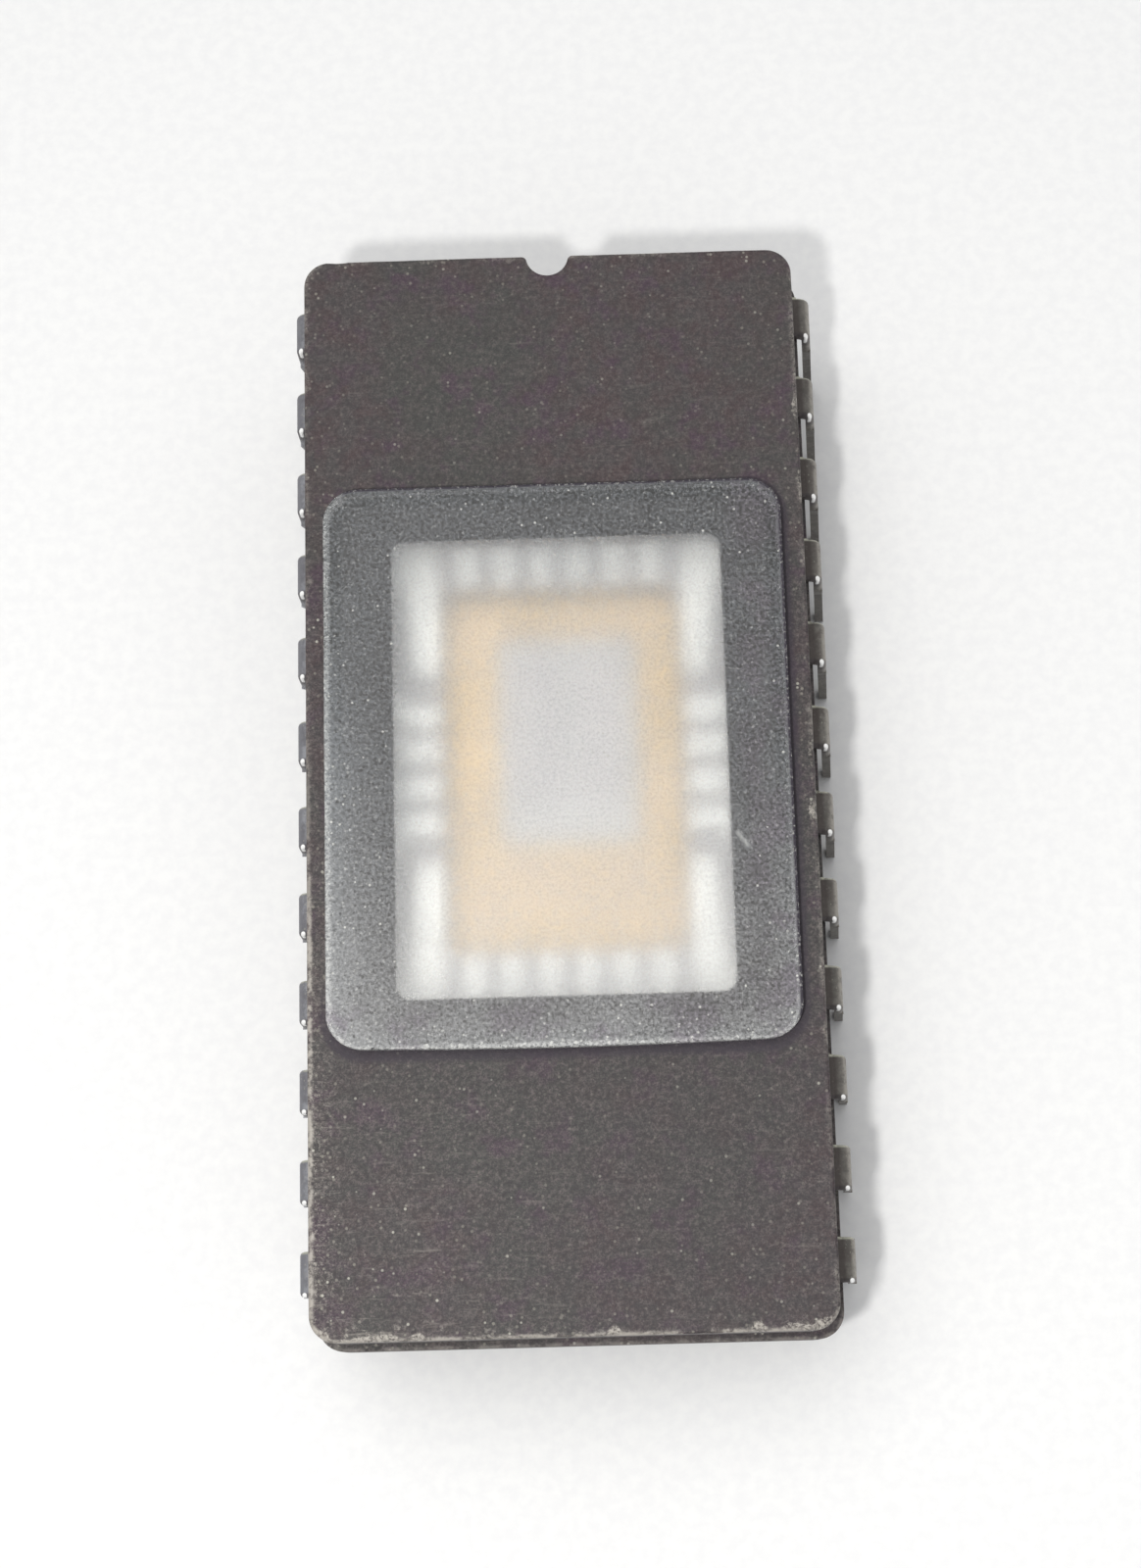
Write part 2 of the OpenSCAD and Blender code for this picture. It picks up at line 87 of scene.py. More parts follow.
class Finish:
    """A material under construction: its nodes, which start from the Object coordinates."""

    def __init__(self, name):
        self.material = bpy.data.materials.new(name)
        self.material.use_nodes = True
        self.tree = self.material.node_tree
        self.tree.nodes.clear()
        self.place = self.node("TexCoord", {}, {}, "Object")

    def node(self, kind, settings, sockets, output=0):
        """Adds a node: its settings first, then a value or a wire for each of its sockets. Gives a wire from
        one of its outputs, or none where it has no output."""
        made = self.tree.nodes.new("ShaderNode" + kind)
        for key, value in settings.items():
            setattr(made, key, value)
        for key, value in sockets.items():
            if isinstance(value, Wire):
                self.tree.links.new(value.socket, made.inputs[key])
            else:
                made.inputs[key].default_value = value
        return Wire(self, made.outputs[output]) if len(made.outputs) else None

    def noise(self, size, detail=4, rough=0.55, stretch=(1, 1, 1), seed=0.0):
        """Soft noise about 0.5, with blotches of a size in mm. The seed moves it, in metres."""
        spot = self.place
        if seed or stretch != (1, 1, 1):
            spot = self.node("Mapping", {}, {"Vector": spot, "Scale": stretch,
                                             "Location": (seed, 0.7 * seed, 0.4 * seed)})
        return self.node("TexNoise", {}, {"Vector": spot, "Scale": 1 / (size * MM), "Detail": detail,
                                          "Roughness": rough})

    def specks(self, size, radius, seed=0.0):
        """1 inside scattered round specks, 0 elsewhere. The size of a cell is in mm and the radius a share of
        it, and each cell has one speck. The seed moves them, in metres."""
        spot = self.node("Mapping", {}, {"Vector": self.place, "Location": (seed, seed, seed)})
        far = self.node("TexVoronoi", {}, {"Vector": spot, "Scale": 1 / (size * MM)}, "Distance")
        return far.step(radius, 0.6 * radius)

    def blend(self, amount, first, second):
        """Colour that goes from the first to the second as the amount goes from 0 to 1."""
        return self.node("Mix", {"data_type": "RGBA"}, {0: amount, 6: first, 7: second}, 2)

    def along(self, axis):
        """One of the three Object coordinates, in mm."""
        return self.node("SeparateXYZ", {}, {"Vector": self.place}, axis) / MM

    def outline_depth(self, centre, size, corner):
        """Distance in mm inwards from the outline of a rectangle with round corners."""
        x = abs(self.along("X") - centre[0]) - (size[0] / 2 - corner)
        y = abs(self.along("Y") - centre[1]) - (size[1] / 2 - corner)
        out_x, out_y = x.most(0), y.most(0)
        outside = (out_x * out_x + out_y * out_y) ** 0.5
        return corner - outside - x.most(y).least(0)

    def worn(self):
        """The wear that is kept at each point of the piece's mesh, from 0 to 1; 0 on a piece without it."""
        return self.node("Attribute", {"attribute_name": "worn"}, {}, "Fac")

    def relief(self, height, distance, strength):
        """Normal of a surface raised by height times a distance in mm."""
        return self.node("Bump", {}, {"Strength": strength, "Distance": distance * MM, "Height": height})

    def principled(self, **sockets):
        names = {key.replace("_", " "): value for key, value in sockets.items()}
        return self.node("BsdfPrincipled", {}, names)

    def surface(self, shader):
        """Closes the material with its shader, and gives it."""
        self.node("OutputMaterial", {}, {"Surface": shader})
        return self.material


def shade(red, green, blue):
    """A colour written as it shows on screen, 0 to 255, made linear."""
    channels = [c / 255 for c in (red, green, blue)]
    return tuple(c / 12.92 if c <= 0.04045 else ((c + 0.055) / 1.055) ** 2.4 for c in channels) + (1.0,)


def ceramic(name, centre, size, top, wear):
    """Fired brown-grey alumina: brown, violet and green-grey blotches, coarse and fine grain that calms
    towards the marked end, dark pores, pale specks and rubs that crowd along the upper edges and at the lower
    left, and a painted dark line of shadow at the foot of the pane. The top is the height of the half's upper
    face, and the wear goes from 0 to 1."""
    f = Finish(name)
    x, y, z = f.along("X"), f.along("Y"), f.along("Z")
    brown, ash, moss, plum = shade(68, 54, 55), shade(65, 61, 61), shade(60, 63, 59), shade(69, 50, 65)
    crystal, pore, fine_pore = shade(102, 93, 92), shade(46, 38, 42), shade(40, 34, 38)
    pane_shadow_tone = shade(46, 38, 50)
    scuffed, dusty, bared = shade(150, 144, 136), shade(158, 152, 144), shade(182, 176, 167)
    speck, bright_speck = shade(142, 138, 128), shade(186, 184, 172)

    # The body: blotches, then coarse and fine grain
    blotch = f.noise(0.9, 4, 0.7)
    drift = f.noise(5.0, 3, 0.6, seed=0.02).step(0.4, 0.62)
    violet = f.noise(1.1, 3, 0.65, seed=0.09).step(0.5, 0.68)
    grain = f.noise(0.12, 3, 0.75)
    fine = f.noise(0.055, 2, 0.7)
    harsh = 1 - y.step(2.0, 11.0) * 0.4
    tone = f.blend(blotch.step(0.36, 0.62), brown, ash)
    tone = f.blend(drift * 0.75, tone, moss)
    tone = f.blend(violet * 0.8, tone, plum)
    tone = f.blend(grain.step(0.42, 0.76) * harsh, tone, crystal)
    tone = f.blend(grain.step(0.5, 0.28) * harsh * 0.8, tone, pore)
    tone = f.blend(fine.step(0.56, 0.34) * harsh * 0.8, tone, fine_pore)
    # Darker towards the lower right: painted shade
    lower_right_shade = x.step(-4.0, 3.0) * y.step(0.0, -9.0)
    tone = f.blend(lower_right_shade * 0.14, tone, pore)

    # Rubs, dust and specks, which crowd near the edges and at the lower left
    depth = f.outline_depth(centre, size, CAP_CORNER)
    lower_left = x.step(2.0, -7.2) * y.step(-6.0, -14.5)
    left_margin = x.step(-6.1, -7.1) * y.step(2.0, -8.0)
    patch = f.noise(0.9, 3, 0.6, seed=0.05).step(0.5, 0.66)
    crowd = (depth.step(1.1, 0.1) * 0.5 + lower_left * 0.5 + patch * 0.5 + left_margin * 0.4).least(1.0)
    rubbed = f.noise(0.2, 4, 0.75, stretch=(0.12, 1, 1), seed=0.08).step(0.56, 0.72)
    tone = f.blend(rubbed * (0.12 + lower_left * 0.35 + left_margin * 0.25), tone, scuffed)
    dust = f.noise(0.08, 3, 0.8, seed=0.14).step(0.52, 0.66) * (left_margin * 0.55 + lower_left * 0.12)
    tone = f.blend(dust, tone, dusty)
    specks = f.specks(0.26, 0.2) * (0.25 + crowd * 0.75)
    bright_specks = f.specks(0.5, 0.1, seed=0.013) * (0.35 + crowd * 0.65)
    tone = f.blend(specks * 0.6, tone, speck)
    tone = f.blend(bright_specks * harsh * 0.8, tone, bright_speck)

    # The bared rim of the upper face: rubs, blots, chips, and a thin pale line at the left and lower sides,
    # partly wear and partly painted highlight
    bite = f.noise(0.3, 4, 0.8, seed=0.03) - 0.5
    grit = f.noise(0.09, 3, 0.8, seed=0.01)
    upper = (z + bite * 0.4).step(top - 0.42, top - 0.12) * wear
    rub = (depth + bite * 0.5).step(0.2, 0.0) * f.noise(1.2, 3, 0.6, seed=0.07).step(0.42, 0.62) * 0.45
    side = x.step(-6.5, -7.0) * y.step(3.0, -7.0)
    facing = side.most(y.step(-15.0, -15.5))
    broken = f.noise(0.5, 4, 0.7, seed=0.02).step(0.38, 0.56)
    # The thin line on the left and lower sides: partly wear, partly painted highlight
    line = (depth + bite * 0.2 - side * 0.06).step(0.13, 0.03) * facing * broken
    blots = f.noise(0.4, 4, 0.8, seed=0.11).step(0.53, 0.63) * (depth + bite).step(0.8, 0.1) * lower_left
    rim = (rub + (f.worn() + bite * 1.1).step(0.3, 0.7)).least(1.0) * grit.step(0.36, 0.6)
    rim = rim.most(line * 0.85).most(blots * grit.step(0.4, 0.58) * 0.75) * upper
    tone = f.blend(rim * 0.9, tone, bared)

    # Painted shadow of the pane on the cap, along its right side and lower end
    foot = f.outline_depth(PANE_CENTRE, PANE_SIZE, PANE_CORNER)
    shaded = (x.step(4.5, 6.2) + y.step(-6.0, -7.6)).least(1.0)
    pane_shadow = foot.step(-0.34, -0.12) * shaded * z.step(8.0, 8.15)
    tone = f.blend(pane_shadow * 0.72, tone, pane_shadow_tone)
    height = grain * 0.6 + fine * 0.4 - rim * 0.5
    shader = f.principled(Base_Color=tone, Roughness=0.6 - rim * 0.1 + (fine - 0.5) * 0.2,
                          Normal=f.relief(height, 0.02, 0.7), IOR=1.45)
    return f.surface(shader)


def sealing_glass(name, colour, outer, rough):
    """Sealing glass: satin, slightly rippled, and of a darker outer colour along the chip's sides, a painted
    shade in the seam between the halves."""
    f = Finish(name)
    lift = 22
    ripple = f.noise(0.6, 3, 0.5)
    tone = f.blend(ripple.step(0.3, 0.7), shade(*colour), shade(*[c + lift for c in colour]))
    depth = f.outline_depth(CAP_CENTRE, CAP_SIZE, CAP_CORNER)
    # Darker outer colour along the sides: painted shade in the seam
    tone = f.blend(depth.step(1.0, 0.6), tone, shade(*outer))
    shader = f.principled(Base_Color=tone, Roughness=rough, Normal=f.relief(ripple, 0.03, 0.5), IOR=1.6)
    return f.surface(shader)


def fired_gold():
    """Fired gold paste: warm, satin, finely grained, yellow towards its rim, pinker in the middle, and darker
    towards the lower end as painted shade."""
    f = Finish("fired_gold")
    grain = f.noise(0.09, 3, 0.6)
    patch = f.noise(2.2, 3, 0.5).step(0.36, 0.64)
    deep = f.outline_depth(PAD_CENTRE, PAD_SIZE, PAD_CORNER).step(0.2, 1.6)
    tone = f.blend(patch * 0.5 + deep * 0.5, shade(215, 184, 134), shade(219, 195, 168))
    # Darker towards the lower end: painted shade
    tone = f.blend(f.along("Y").step(1.0, -4.0) * 0.36, tone, shade(150, 132, 110))
    shader = f.principled(Base_Color=tone, Metallic=0.7, Roughness=0.42 + grain * 0.2,
                          Normal=f.relief(grain, 0.006, 0.6))
    return f.surface(shader)


def bond_layer():
    """Gold and silicon eutectic round the foot of the die."""
    f = Finish("die_bond")
    lumps = f.noise(0.12, 4, 0.6)
    tone = f.blend(lumps.step(0.35, 0.65), shade(196, 168, 122), shade(214, 196, 160))
    shader = f.principled(Base_Color=tone, Metallic=0.6, Roughness=0.45, Normal=f.relief(lumps, 0.02, 0.8))
    return f.surface(shader)


def die_face():
    """Silicon with its circuit: two blocks of fine cells with a spine between them, mottled logic round them,
    and a row of bond pads at both ends. The cells are counted per mm and the pads' pitch is in mm."""
    f = Finish("silicon_circuit")
    cells_x, cells_y, pad_pitch = 40, 28, 0.56
    x, y = f.along("X") - DIE_CENTRE[0], f.along("Y") - DIE_CENTRE[1]
    cell_x = abs((x * cells_x).fraction() - 0.5).step(0.1, 0.4)
    cell_y = abs((y * cells_y).fraction() - 0.5).step(0.1, 0.4)
    block = abs(x).step(1.72, 1.68) * abs(y - 0.35).step(2.25, 2.2) * abs(x).step(0.12, 0.16)
    logic = f.noise(0.11, 2, 0.8).step(0.45, 0.55) * (1 - block)
    pad_x = abs((x / pad_pitch).fraction() - 0.5).step(0.14, 0.11)
    pads = pad_x * (abs(y).step(2.8, 2.84) * abs(y).step(2.99, 2.95)) * abs(x).step(1.9, 1.86)
    tone = f.blend(block * cell_x * cell_y, shade(178, 173, 174), shade(200, 196, 196))
    tone = f.blend(logic * 0.6, tone, shade(192, 195, 192))
    tone = f.blend(pads, tone, shade(232, 232, 228))
    shader = f.principled(Base_Color=tone, Metallic=0.35, Roughness=0.3,
                          Normal=f.relief(block * cell_x, 0.002, 0.4))
    return f.surface(shader)


def tinned_lead(name, side, dull, pale, stained, edge):
    """Dull tin on a stamped lead: matt and mottled between two tones, stained, scratched along the leg, and
    darker near the body as painted shade. It has a pale burr at its marked-end edge and an outer corner of
    another tone, a painted light and shade of the leg's outer face. Its other edge is rolled and painted dark
    as shade, with a bead where it meets the bend that is polished and painted white as a glint. Under the
    window the fingers are clad in aluminium, mattest at both ends of the cavity. The side is -1 for the left
    row and 1 for the right one."""
    f = Finish(name)
    half, bead_x, bead_r = SHOULDER / 2, 7.6, 0.11
    x, y, z = f.along("X") * side, f.along("Y"), f.along("Z")
    across = ((y / PITCH).fraction() - 0.5) * PITCH
    on_top = z.step(5.55, 5.75)
    scratch = f.noise(0.08, 3, 0.6, stretch=(1.0, 1.0, 0.2))
    mottle = f.noise(0.25, 4, 0.75)
    stain = f.noise(0.8, 3, 0.6, seed=0.04).step(0.44, 0.62)
    tone = f.blend(mottle.step(0.36, 0.64), shade(*dull), shade(*pale))
    tone = f.blend(stain * 0.6, tone, shade(*stained))
    tone = f.blend(scratch.step(0.55, 0.75) * 0.4, tone, shade(156, 154, 146))
    tone = f.blend(f.specks(0.16, 0.2) * 0.4, tone, shade(176, 174, 162))
    # Darker near the body: painted shade
    tone = f.blend(x.step(7.5, 7.36) * on_top * 0.75, tone, shade(66, 58, 56))
    # Outer corner's tone: painted light and shade of the leg's outer face
    corner = x.step(7.56, 7.69) * z.step(5.0, 5.5)
    tone = f.blend(corner * mottle.step(0.3, 0.55) * 0.8, tone, shade(*edge))
    burr = across.step(half - 0.1, half - 0.03) * on_top * mottle.step(0.3, 0.48)
    tone = f.blend(burr * 0.9, tone, shade(190, 190, 174))
    # Rolled edge painted dark: painted shade
    rolled = across.step(0.16 - half, 0.06 - half) * z.step(5.2, 5.6)
    tone = f.blend(rolled * 0.8, tone, shade(62, 55, 56))
    from_x, from_y = x - bead_x, across + half - 0.05
    bead = ((from_x * from_x + from_y * from_y) ** 0.5).step(bead_r, 0.0) * on_top
    # The bead is polished, and painted near white as a glint
    polish_and_glint = bead.step(0.15, 0.5)
    tone = f.blend(polish_and_glint, tone, shade(255, 255, 253))
    clad, ends = x.step(5.5, 5.2), abs(y).step(4.6, 5.8)
    tone = f.blend(clad, tone, shade(241, 241, 239))
    rough = 0.5 + (mottle - 0.5) * 0.3 - polish_and_glint * 0.2 - clad * 0.06
    metal = (0.45 - rolled * 0.3 - polish_and_glint * 0.3 - clad * (0.15 + ends * 0.25)).most(0)
    height = (scratch * 0.6 + mottle * 0.4) * (1 - polish_and_glint) * 0.012 + bead * 0.05
    shader = f.principled(Base_Color=tone, Metallic=metal, Roughness=rough, Normal=f.relief(height, 1.0, 0.6))
    return f.surface(shader)


def bond_aluminium():
    """Drawn aluminium bond wire."""
    f = Finish("bond_aluminium")
    grain = f.noise(0.02, 2, 0.5)
    tone = f.blend(grain.step(0.3, 0.7), shade(214, 214, 212), shade(240, 240, 238))
    return f.surface(f.principled(Base_Color=tone, Metallic=1.0, Roughness=0.3 + grain * 0.1))


def frosted_pane():
    """Ground glass: rough and clear-bodied, with a grey bloom that whitens towards the lower end as a painted
    sheen of the lamp, bright and dark grains, a ground rim painted pale as a highlight, with grit in it, at
    the left side and the lower end and painted dark as shade elsewhere, pale chips along it where the mesh
    says so, and one short scratch by the opening's right side. The haze is the share of powder over clear
    glass. Rays that go to a lamp pass at a plain share, except near the rim, because light through rough
    glass would hardly reach the cavity."""
    f = Finish("frosted_glass")
    scratch_x, scratch_y, scratch_cos, scratch_sin = 4.93, -2.5, 0.82, 0.57
    lamp_share = (0.655, 0.645, 0.625, 1)
    x, y = f.along("X"), f.along("Y")
    depth = f.outline_depth(PANE_CENTRE, PANE_SIZE, PANE_CORNER)
    lower = y.step(2.0, -8.0)
    left = x.step(-4.4, -6.6) * y.step(5.5, -1.0)
    near_rim = (depth.step(1.1, 0.05) * lower.most(left)).least(1.0)

    # Grains, grit, pits and the marks of the grinding
    grain = f.noise(0.1, 3, 0.8)
    drift = f.noise(1.6, 3, 0.6, seed=0.06)
    grit = f.specks(0.24, 0.2) * (f.noise(0.7, 3, 0.6).step(0.44, 0.62) * 0.7 + near_rim).least(1.0)
    glitter = f.specks(0.42, 0.11, seed=0.011)
    pits = f.specks(0.28, 0.2, seed=0.017)
    crumbs = f.noise(0.08, 3, 0.8, seed=0.03)
    frit = crumbs.step(0.53, 0.68)
    chips = (f.worn() + (crumbs - 0.5) * 1.8).step(0.6, 1.1)
    # Pale ground rim at the left side and lower end: grit and painted highlight; dark rim elsewhere: painted
    # shade
    facing = x.step(-6.0, -6.4).most(y.step(-7.4, -7.8))
    ground = depth.step(0.25, 0.04) * facing * crumbs.step(0.38, 0.56)
    rim = depth.step(0.13, 0.06) * (1 - chips) * (1 - facing)
    from_x, from_y = x - scratch_x, y - scratch_y
    lengthways = from_x * scratch_sin - from_y * scratch_cos
    sideways = from_x * scratch_cos + from_y * scratch_sin
    ragged = (abs(sideways) + (grain - 0.5) * 0.5).step(0.09, 0.03)
    scratch = abs(lengthways).step(0.34, 0.22) * ragged * frit.most(0.4)

    # Haze rises towards the lower end and its rim: painted sheen of the lamp
    haze = 0.15 + (grain - 0.5) * 1.6 + (drift - 0.5) * 0.25 + lower * 0.05 + left * 0.14
    haze = haze + frit * 0.2 + grit * 0.35 + glitter * 0.45 - pits * 0.2 + chips * 0.4 + near_rim * 0.12
    haze = haze + ground * 0.4 + scratch * 0.8
    haze = haze.most(rim * 0.85).most(0.02).least(1.0)
    violet = f.noise(1.3, 3, 0.6, seed=0.12).step(0.46, 0.62)
    violet = violet * x.step(4.5, 5.5).most(y.step(-6.5, -7.3))
    # Paler bloom towards the lower end: painted sheen of the lamp
    bloom = f.blend(lower, shade(155, 159, 163), shade(190, 191, 192))
    bloom = f.blend(violet * 0.7, bloom, shade(160, 150, 163))
    # Dark rim colour: painted shade; the pale ground rim in the bright mix is partly painted highlight
    bloom = f.blend(rim, bloom, shade(66, 62, 70))
    bright = (grit * 0.75).most(glitter).most(chips * 0.7).most(frit * 0.6).most(ground * 0.5).most(scratch)
    bloom = f.blend(bright, bloom, shade(210, 210, 204))

    bump = f.relief(grain + grit * 0.5, 0.01, 0.35)
    glass = f.principled(Base_Color=shade(252, 254, 254), Roughness=0.385, IOR=1.5,
                         Transmission_Weight=1.0, Normal=bump)
    powder = f.principled(Base_Color=bloom, Roughness=1.0, Specular_IOR_Level=0.0, Normal=bump)
    frost = f.node("MixShader", {}, {0: haze, 1: glass, 2: powder})
    clear = f.node("BsdfTransparent", {}, {"Color": lamp_share})
    lit = f.node("LightPath", {}, {}, "Is Shadow Ray") * depth.step(0.2, 0.6)
    return f.surface(f.node("MixShader", {}, {0: lit, 1: frost, 2: clear}))


def paper():
    """White floor with a faint tooth."""
    f = Finish("white_paper")
    tooth = f.noise(0.4, 3, 0.6)
    tone = f.blend(tooth.step(0.3, 0.7), shade(238, 238, 238), shade(243, 243, 242))
    return f.surface(f.principled(Base_Color=tone, Roughness=0.9, Normal=f.relief(tooth, 0.02, 0.2)))


# Worn cap and ground pane. A loop is an array of points with an array of outward directions, and a section
# is a list of pairs: a row, which is a loop's points at their heights, and the wear at each of them.

# How many points a loop has along a side, an end, a corner, a lip of the notch and the notch itself
SIDE_STEPS, END_STEPS, TURN_STEPS, LIP_STEPS, NOTCH_STEPS = 260, 154, 14, 10, 36
CAP_CHIP_SEED, CAP_BEVEL_SEED, CAP_WEAR_SEED = 3, 4, 5
PANE_CHIP_SEED, PANE_BEVEL_SEED, EDGE_SEED = 21, 22, 7


def turns(centre, radius, start, stop, count):
    """Points and outward directions on an arc: centre plus radius times (cos a, sin a), a from start to stop
    in degrees."""
    a = np.radians(np.linspace(start, stop, count))
    out = np.column_stack((np.cos(a), np.sin(a)))
    return np.asarray(centre) + radius * out, out


def run(start, stop, out, count):
    """Points on a straight line between two corners, ends left out, with one outward direction."""
    share = np.linspace(0, 1, count + 2)[1:-1, None]
    return (1 - share) * start + share * np.asarray(stop), np.tile(out, (count, 1)).astype(float)


def stacked(parts):
    """One loop from pairs of points and outward directions."""
    return np.vstack([points for points, outs in parts]), np.vstack([outs for points, outs in parts])


def notched_side(half, top, corner):
    """The marked end: a straight line, a small round lip, the half-round notch, and the same mirrored.
    The lip's circle touches the end line and the notch's circle, so its angle follows from both radii."""
    centre = (0, top - NOTCH_DEPTH + NOTCH_R)
    drop = centre[1] - top + LIP_R
    lip_x = math.sqrt((NOTCH_R + LIP_R) ** 2 - drop ** 2)
    lean = math.degrees(math.asin(drop / (NOTCH_R + LIP_R)))
    flat = (END_STEPS - 2 * LIP_STEPS - (NOTCH_STEPS - 2)) // 2
    points, outs = turns(centre, NOTCH_R, -lean, lean - 180, NOTCH_STEPS)
    return stacked([run((half - corner, top), (lip_x, top), (0, 1), flat),
                    turns((lip_x, top - LIP_R), LIP_R, 90, 180 - lean, LIP_STEPS),
                    (points[1:-1], -outs[1:-1]),
                    turns((-lip_x, top - LIP_R), LIP_R, lean, 90, LIP_STEPS),
                    run((-lip_x, top), (corner - half, top), (0, 1), flat)])


def outline(centre, size, corner, notched=False, bow=0.0):
    """Rectangle with round corners, counted from the right side's foot anticlockwise. Its lower end may be
    bowed: towards the corners it moves inwards, by 1 minus a cosine of the distance from its middle."""
    w, l = size[0] / 2, size[1] / 2
    x, y = w - corner, l - corner
    north = notched_side(w, l, corner) if notched else run((x, l), (-x, l), (0, 1), END_STEPS)
    points, outs = stacked([
        run((w, -y), (w, y), (1, 0), SIDE_STEPS), turns((x, y), corner, 0, 90, TURN_STEPS), north,
        turns((-x, y), corner, 90, 180, TURN_STEPS), run((-w, y), (-w, -y), (-1, 0), SIDE_STEPS),
        turns((-x, -y), corner, 180, 270, TURN_STEPS), run((-x, -l), (x, -l), (0, -1), END_STEPS),
        turns((x, -y), corner, 270, 360, TURN_STEPS)])
    near_end = np.clip((-points[:, 1] - y + 1) / (corner + 1), 0, 1)
    points[:, 1] += bow * near_end * (1 - np.cos(points[:, 0] / w * np.pi / 2))
    return points + centre, outs


def rough_line(count, seed, waves, grain):
    """A closed line of noise about 0: a sum of sines with random phases, the n-th one n ** -grain high."""
    rng = np.random.default_rng(seed)
    n = np.arange(1, waves + 1)[:, None]
    a = 2 * np.pi * n * np.arange(count) / count + rng.uniform(0, 2 * np.pi, (waves, 1))
    line = (np.sin(a) * rng.normal(1, 0.3, (waves, 1)) * n ** -float(grain)).sum(0)
    return line / line.std()


def row(points, outs, inset, z):
    """A loop of points moved inwards by an inset (one number or one per point) at a height, in mm."""
    moved = points - outs * np.reshape(inset, (-1, 1))
    return np.column_stack((moved, np.broadcast_to(z, len(points))))


def rounded_edge(points, outs, bevel, top, steps, worn):
    """Section of a quarter ellipse whose radius varies along the loop, roughened by a noise per row."""
    rng = np.random.default_rng(EDGE_SEED)
    section = []
    for t in np.linspace(0, 1, steps):
        radius = bevel * (1 + worn * rng.normal(0, 0.08, len(points)) * math.sin(math.pi * t))
        section.append((row(points, outs, radius * (1 - math.sin(t * math.pi / 2)),
                            top - radius * (1 - math.cos(t * math.pi / 2))), worn))
    return section


def closed_shell(name, section, material, tube):
    """Mesh of a section's rows. A tube joins the last row to the first; otherwise one flat face closes the
    first row and one the last. The attribute 'worn' keeps the wear at each point."""
    rows = np.asarray([line for line, worn in section]) * MM
    marks = np.asarray([worn for line, worn in section], np.float32)
    r, n = rows.shape[:2]
    i = np.arange(r if tube else r - 1)[:, None]
    j = np.arange(n)[None]
    k, m = (i + 1) % r, (j + 1) % n
    faces = np.stack((i * n + j, k * n + j, k * n + m, i * n + m), -1).reshape(-1, 4).tolist()
    if not tube:
        faces += [list(range(n)), list(range((r - 1) * n, r * n))[::-1]]
    mesh = bpy.data.meshes.new(name)
    mesh.from_pydata(rows.reshape(-1, 3).tolist(), [], faces)
    mesh.attributes.new("worn", "FLOAT", "POINT").data.foreach_set("value", marks.ravel())
    mesh.materials.append(material)
    mesh.validate()
    piece = bpy.data.objects.new(name, mesh)
    bpy.context.scene.collection.objects.link(piece)
    return piece


def worn_cap(material):
    """Ceramic cap: its section runs from the opening's upper edge over the top, round a worn edge, down the
    side, back under the foot, up into the recess, in along its ceiling and up the opening's wall. The edge's
    radius grows where it is chipped, and the opening's edge is bevelled by a hair."""
    hair = 0.015
    points, outs = outline(CAP_CENTRE, CAP_SIZE, CAP_CORNER, notched=True)
    inner, inner_outs = outline(OPENING_CENTRE, OPENING_SIZE, OPENING_CORNER)
    recess = outline(OPENING_CENTRE, RECESS_SIZE, RECESS_CORNER)[0]
    n = len(points)
    south = np.clip((-points[:, 1] - 13.0) / 2.6, 0, 1)
    west = np.clip(-points[:, 0] / 7.2, 0, 1)
    chance = 0.25 + 0.9 * south + 0.5 * south * west
    notch = np.hypot(points[:, 0] - CAP_CENTRE[0], points[:, 1] - CAP_CENTRE[1] - CAP_SIZE[1] / 2) < 1.1
    chips = np.clip(rough_line(n, CAP_CHIP_SEED, 120, 0.4) - 1.5 + 0.9 * chance, 0, 1.6) / 1.6 * ~notch
    worn = np.clip(0.3 * chance + 0.6 * chips + 0.12 * rough_line(n, CAP_WEAR_SEED, 60, 0.5), 0, 1)
    bevel = 0.085 + 0.012 * rough_line(n, CAP_BEVEL_SEED, 60, 0.5).clip(-2, 2) * ~notch + 0.13 * chips
    bare = np.zeros(n)

    start = row(inner, inner_outs, -hair, CAP_TOP)
    rim = row(points, outs, np.where(notch, 0.13, 0.42), CAP_TOP)
    # The flat top's rows lie a share of the way from the opening's edge to the rim
    section = [(start, bare)] + [((1 - share) * start + share * rim, bare) for share in (0.3, 0.6, 0.85)]
    section += [(rim, bare), (row(points, outs, bevel + 0.03, CAP_TOP), 0.6 * worn)]
    section += rounded_edge(points, outs, bevel, CAP_TOP, 7, worn)
    section += [(row(points, outs, 0, z), share * worn)
                for z, share in ((7.95, 0.7), (7.6, 0.2), (6.9, 0), (CAP_FOOT, 0.2))]
    section += [(row(loop, inner_outs, 0, z), bare)
                for loop, z in ((recess, CAP_FOOT), (recess, RECESS_TOP), (inner, RECESS_TOP),
                                (inner, CAP_TOP - hair))]
    return closed_shell("worn_cap", section, material, tube=True)


